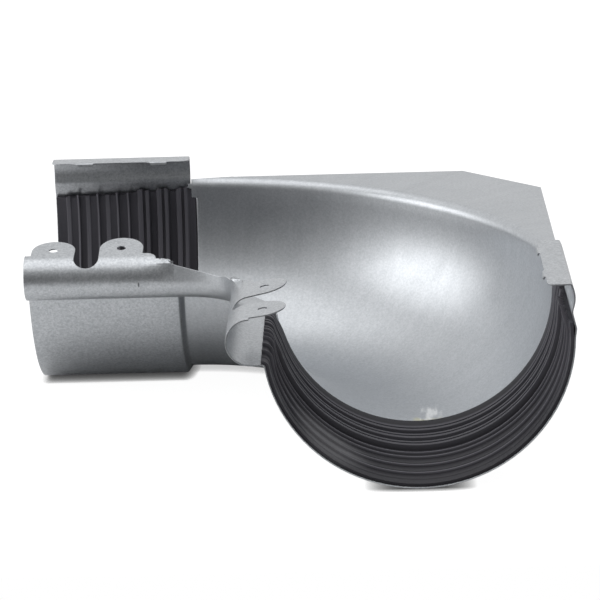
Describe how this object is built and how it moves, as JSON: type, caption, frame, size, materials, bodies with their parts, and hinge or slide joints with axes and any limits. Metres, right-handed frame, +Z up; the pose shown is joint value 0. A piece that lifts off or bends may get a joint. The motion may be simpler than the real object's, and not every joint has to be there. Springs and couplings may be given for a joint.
{
  "type": "internal gutter angle",
  "caption": "Pressed steel internal corner for a half-round gutter, with joggled sockets, riveting ears, rear clips, a flat corner flange and ribbed rubber seals.",
  "frame": {"origin": "centre of the part's box, on the floor that its sockets rest on", "axes": "+Z up; the front arm runs along -Y and the left arm along -X, both open at their ends"},
  "size_m": [0.2434, 0.2434, 0.0895],
  "materials": {
    "galvanised_steel": "hot-dip galvanised, fine spangle, satin",
    "seal_rubber": "black EPDM, matt, extruded ribs"
  },
  "bodies": {
    "root": {"corner_body": "galvanised_steel", "front_seal": "seal_rubber", "left_seal": "seal_rubber"}
  },
  "joints": []
}
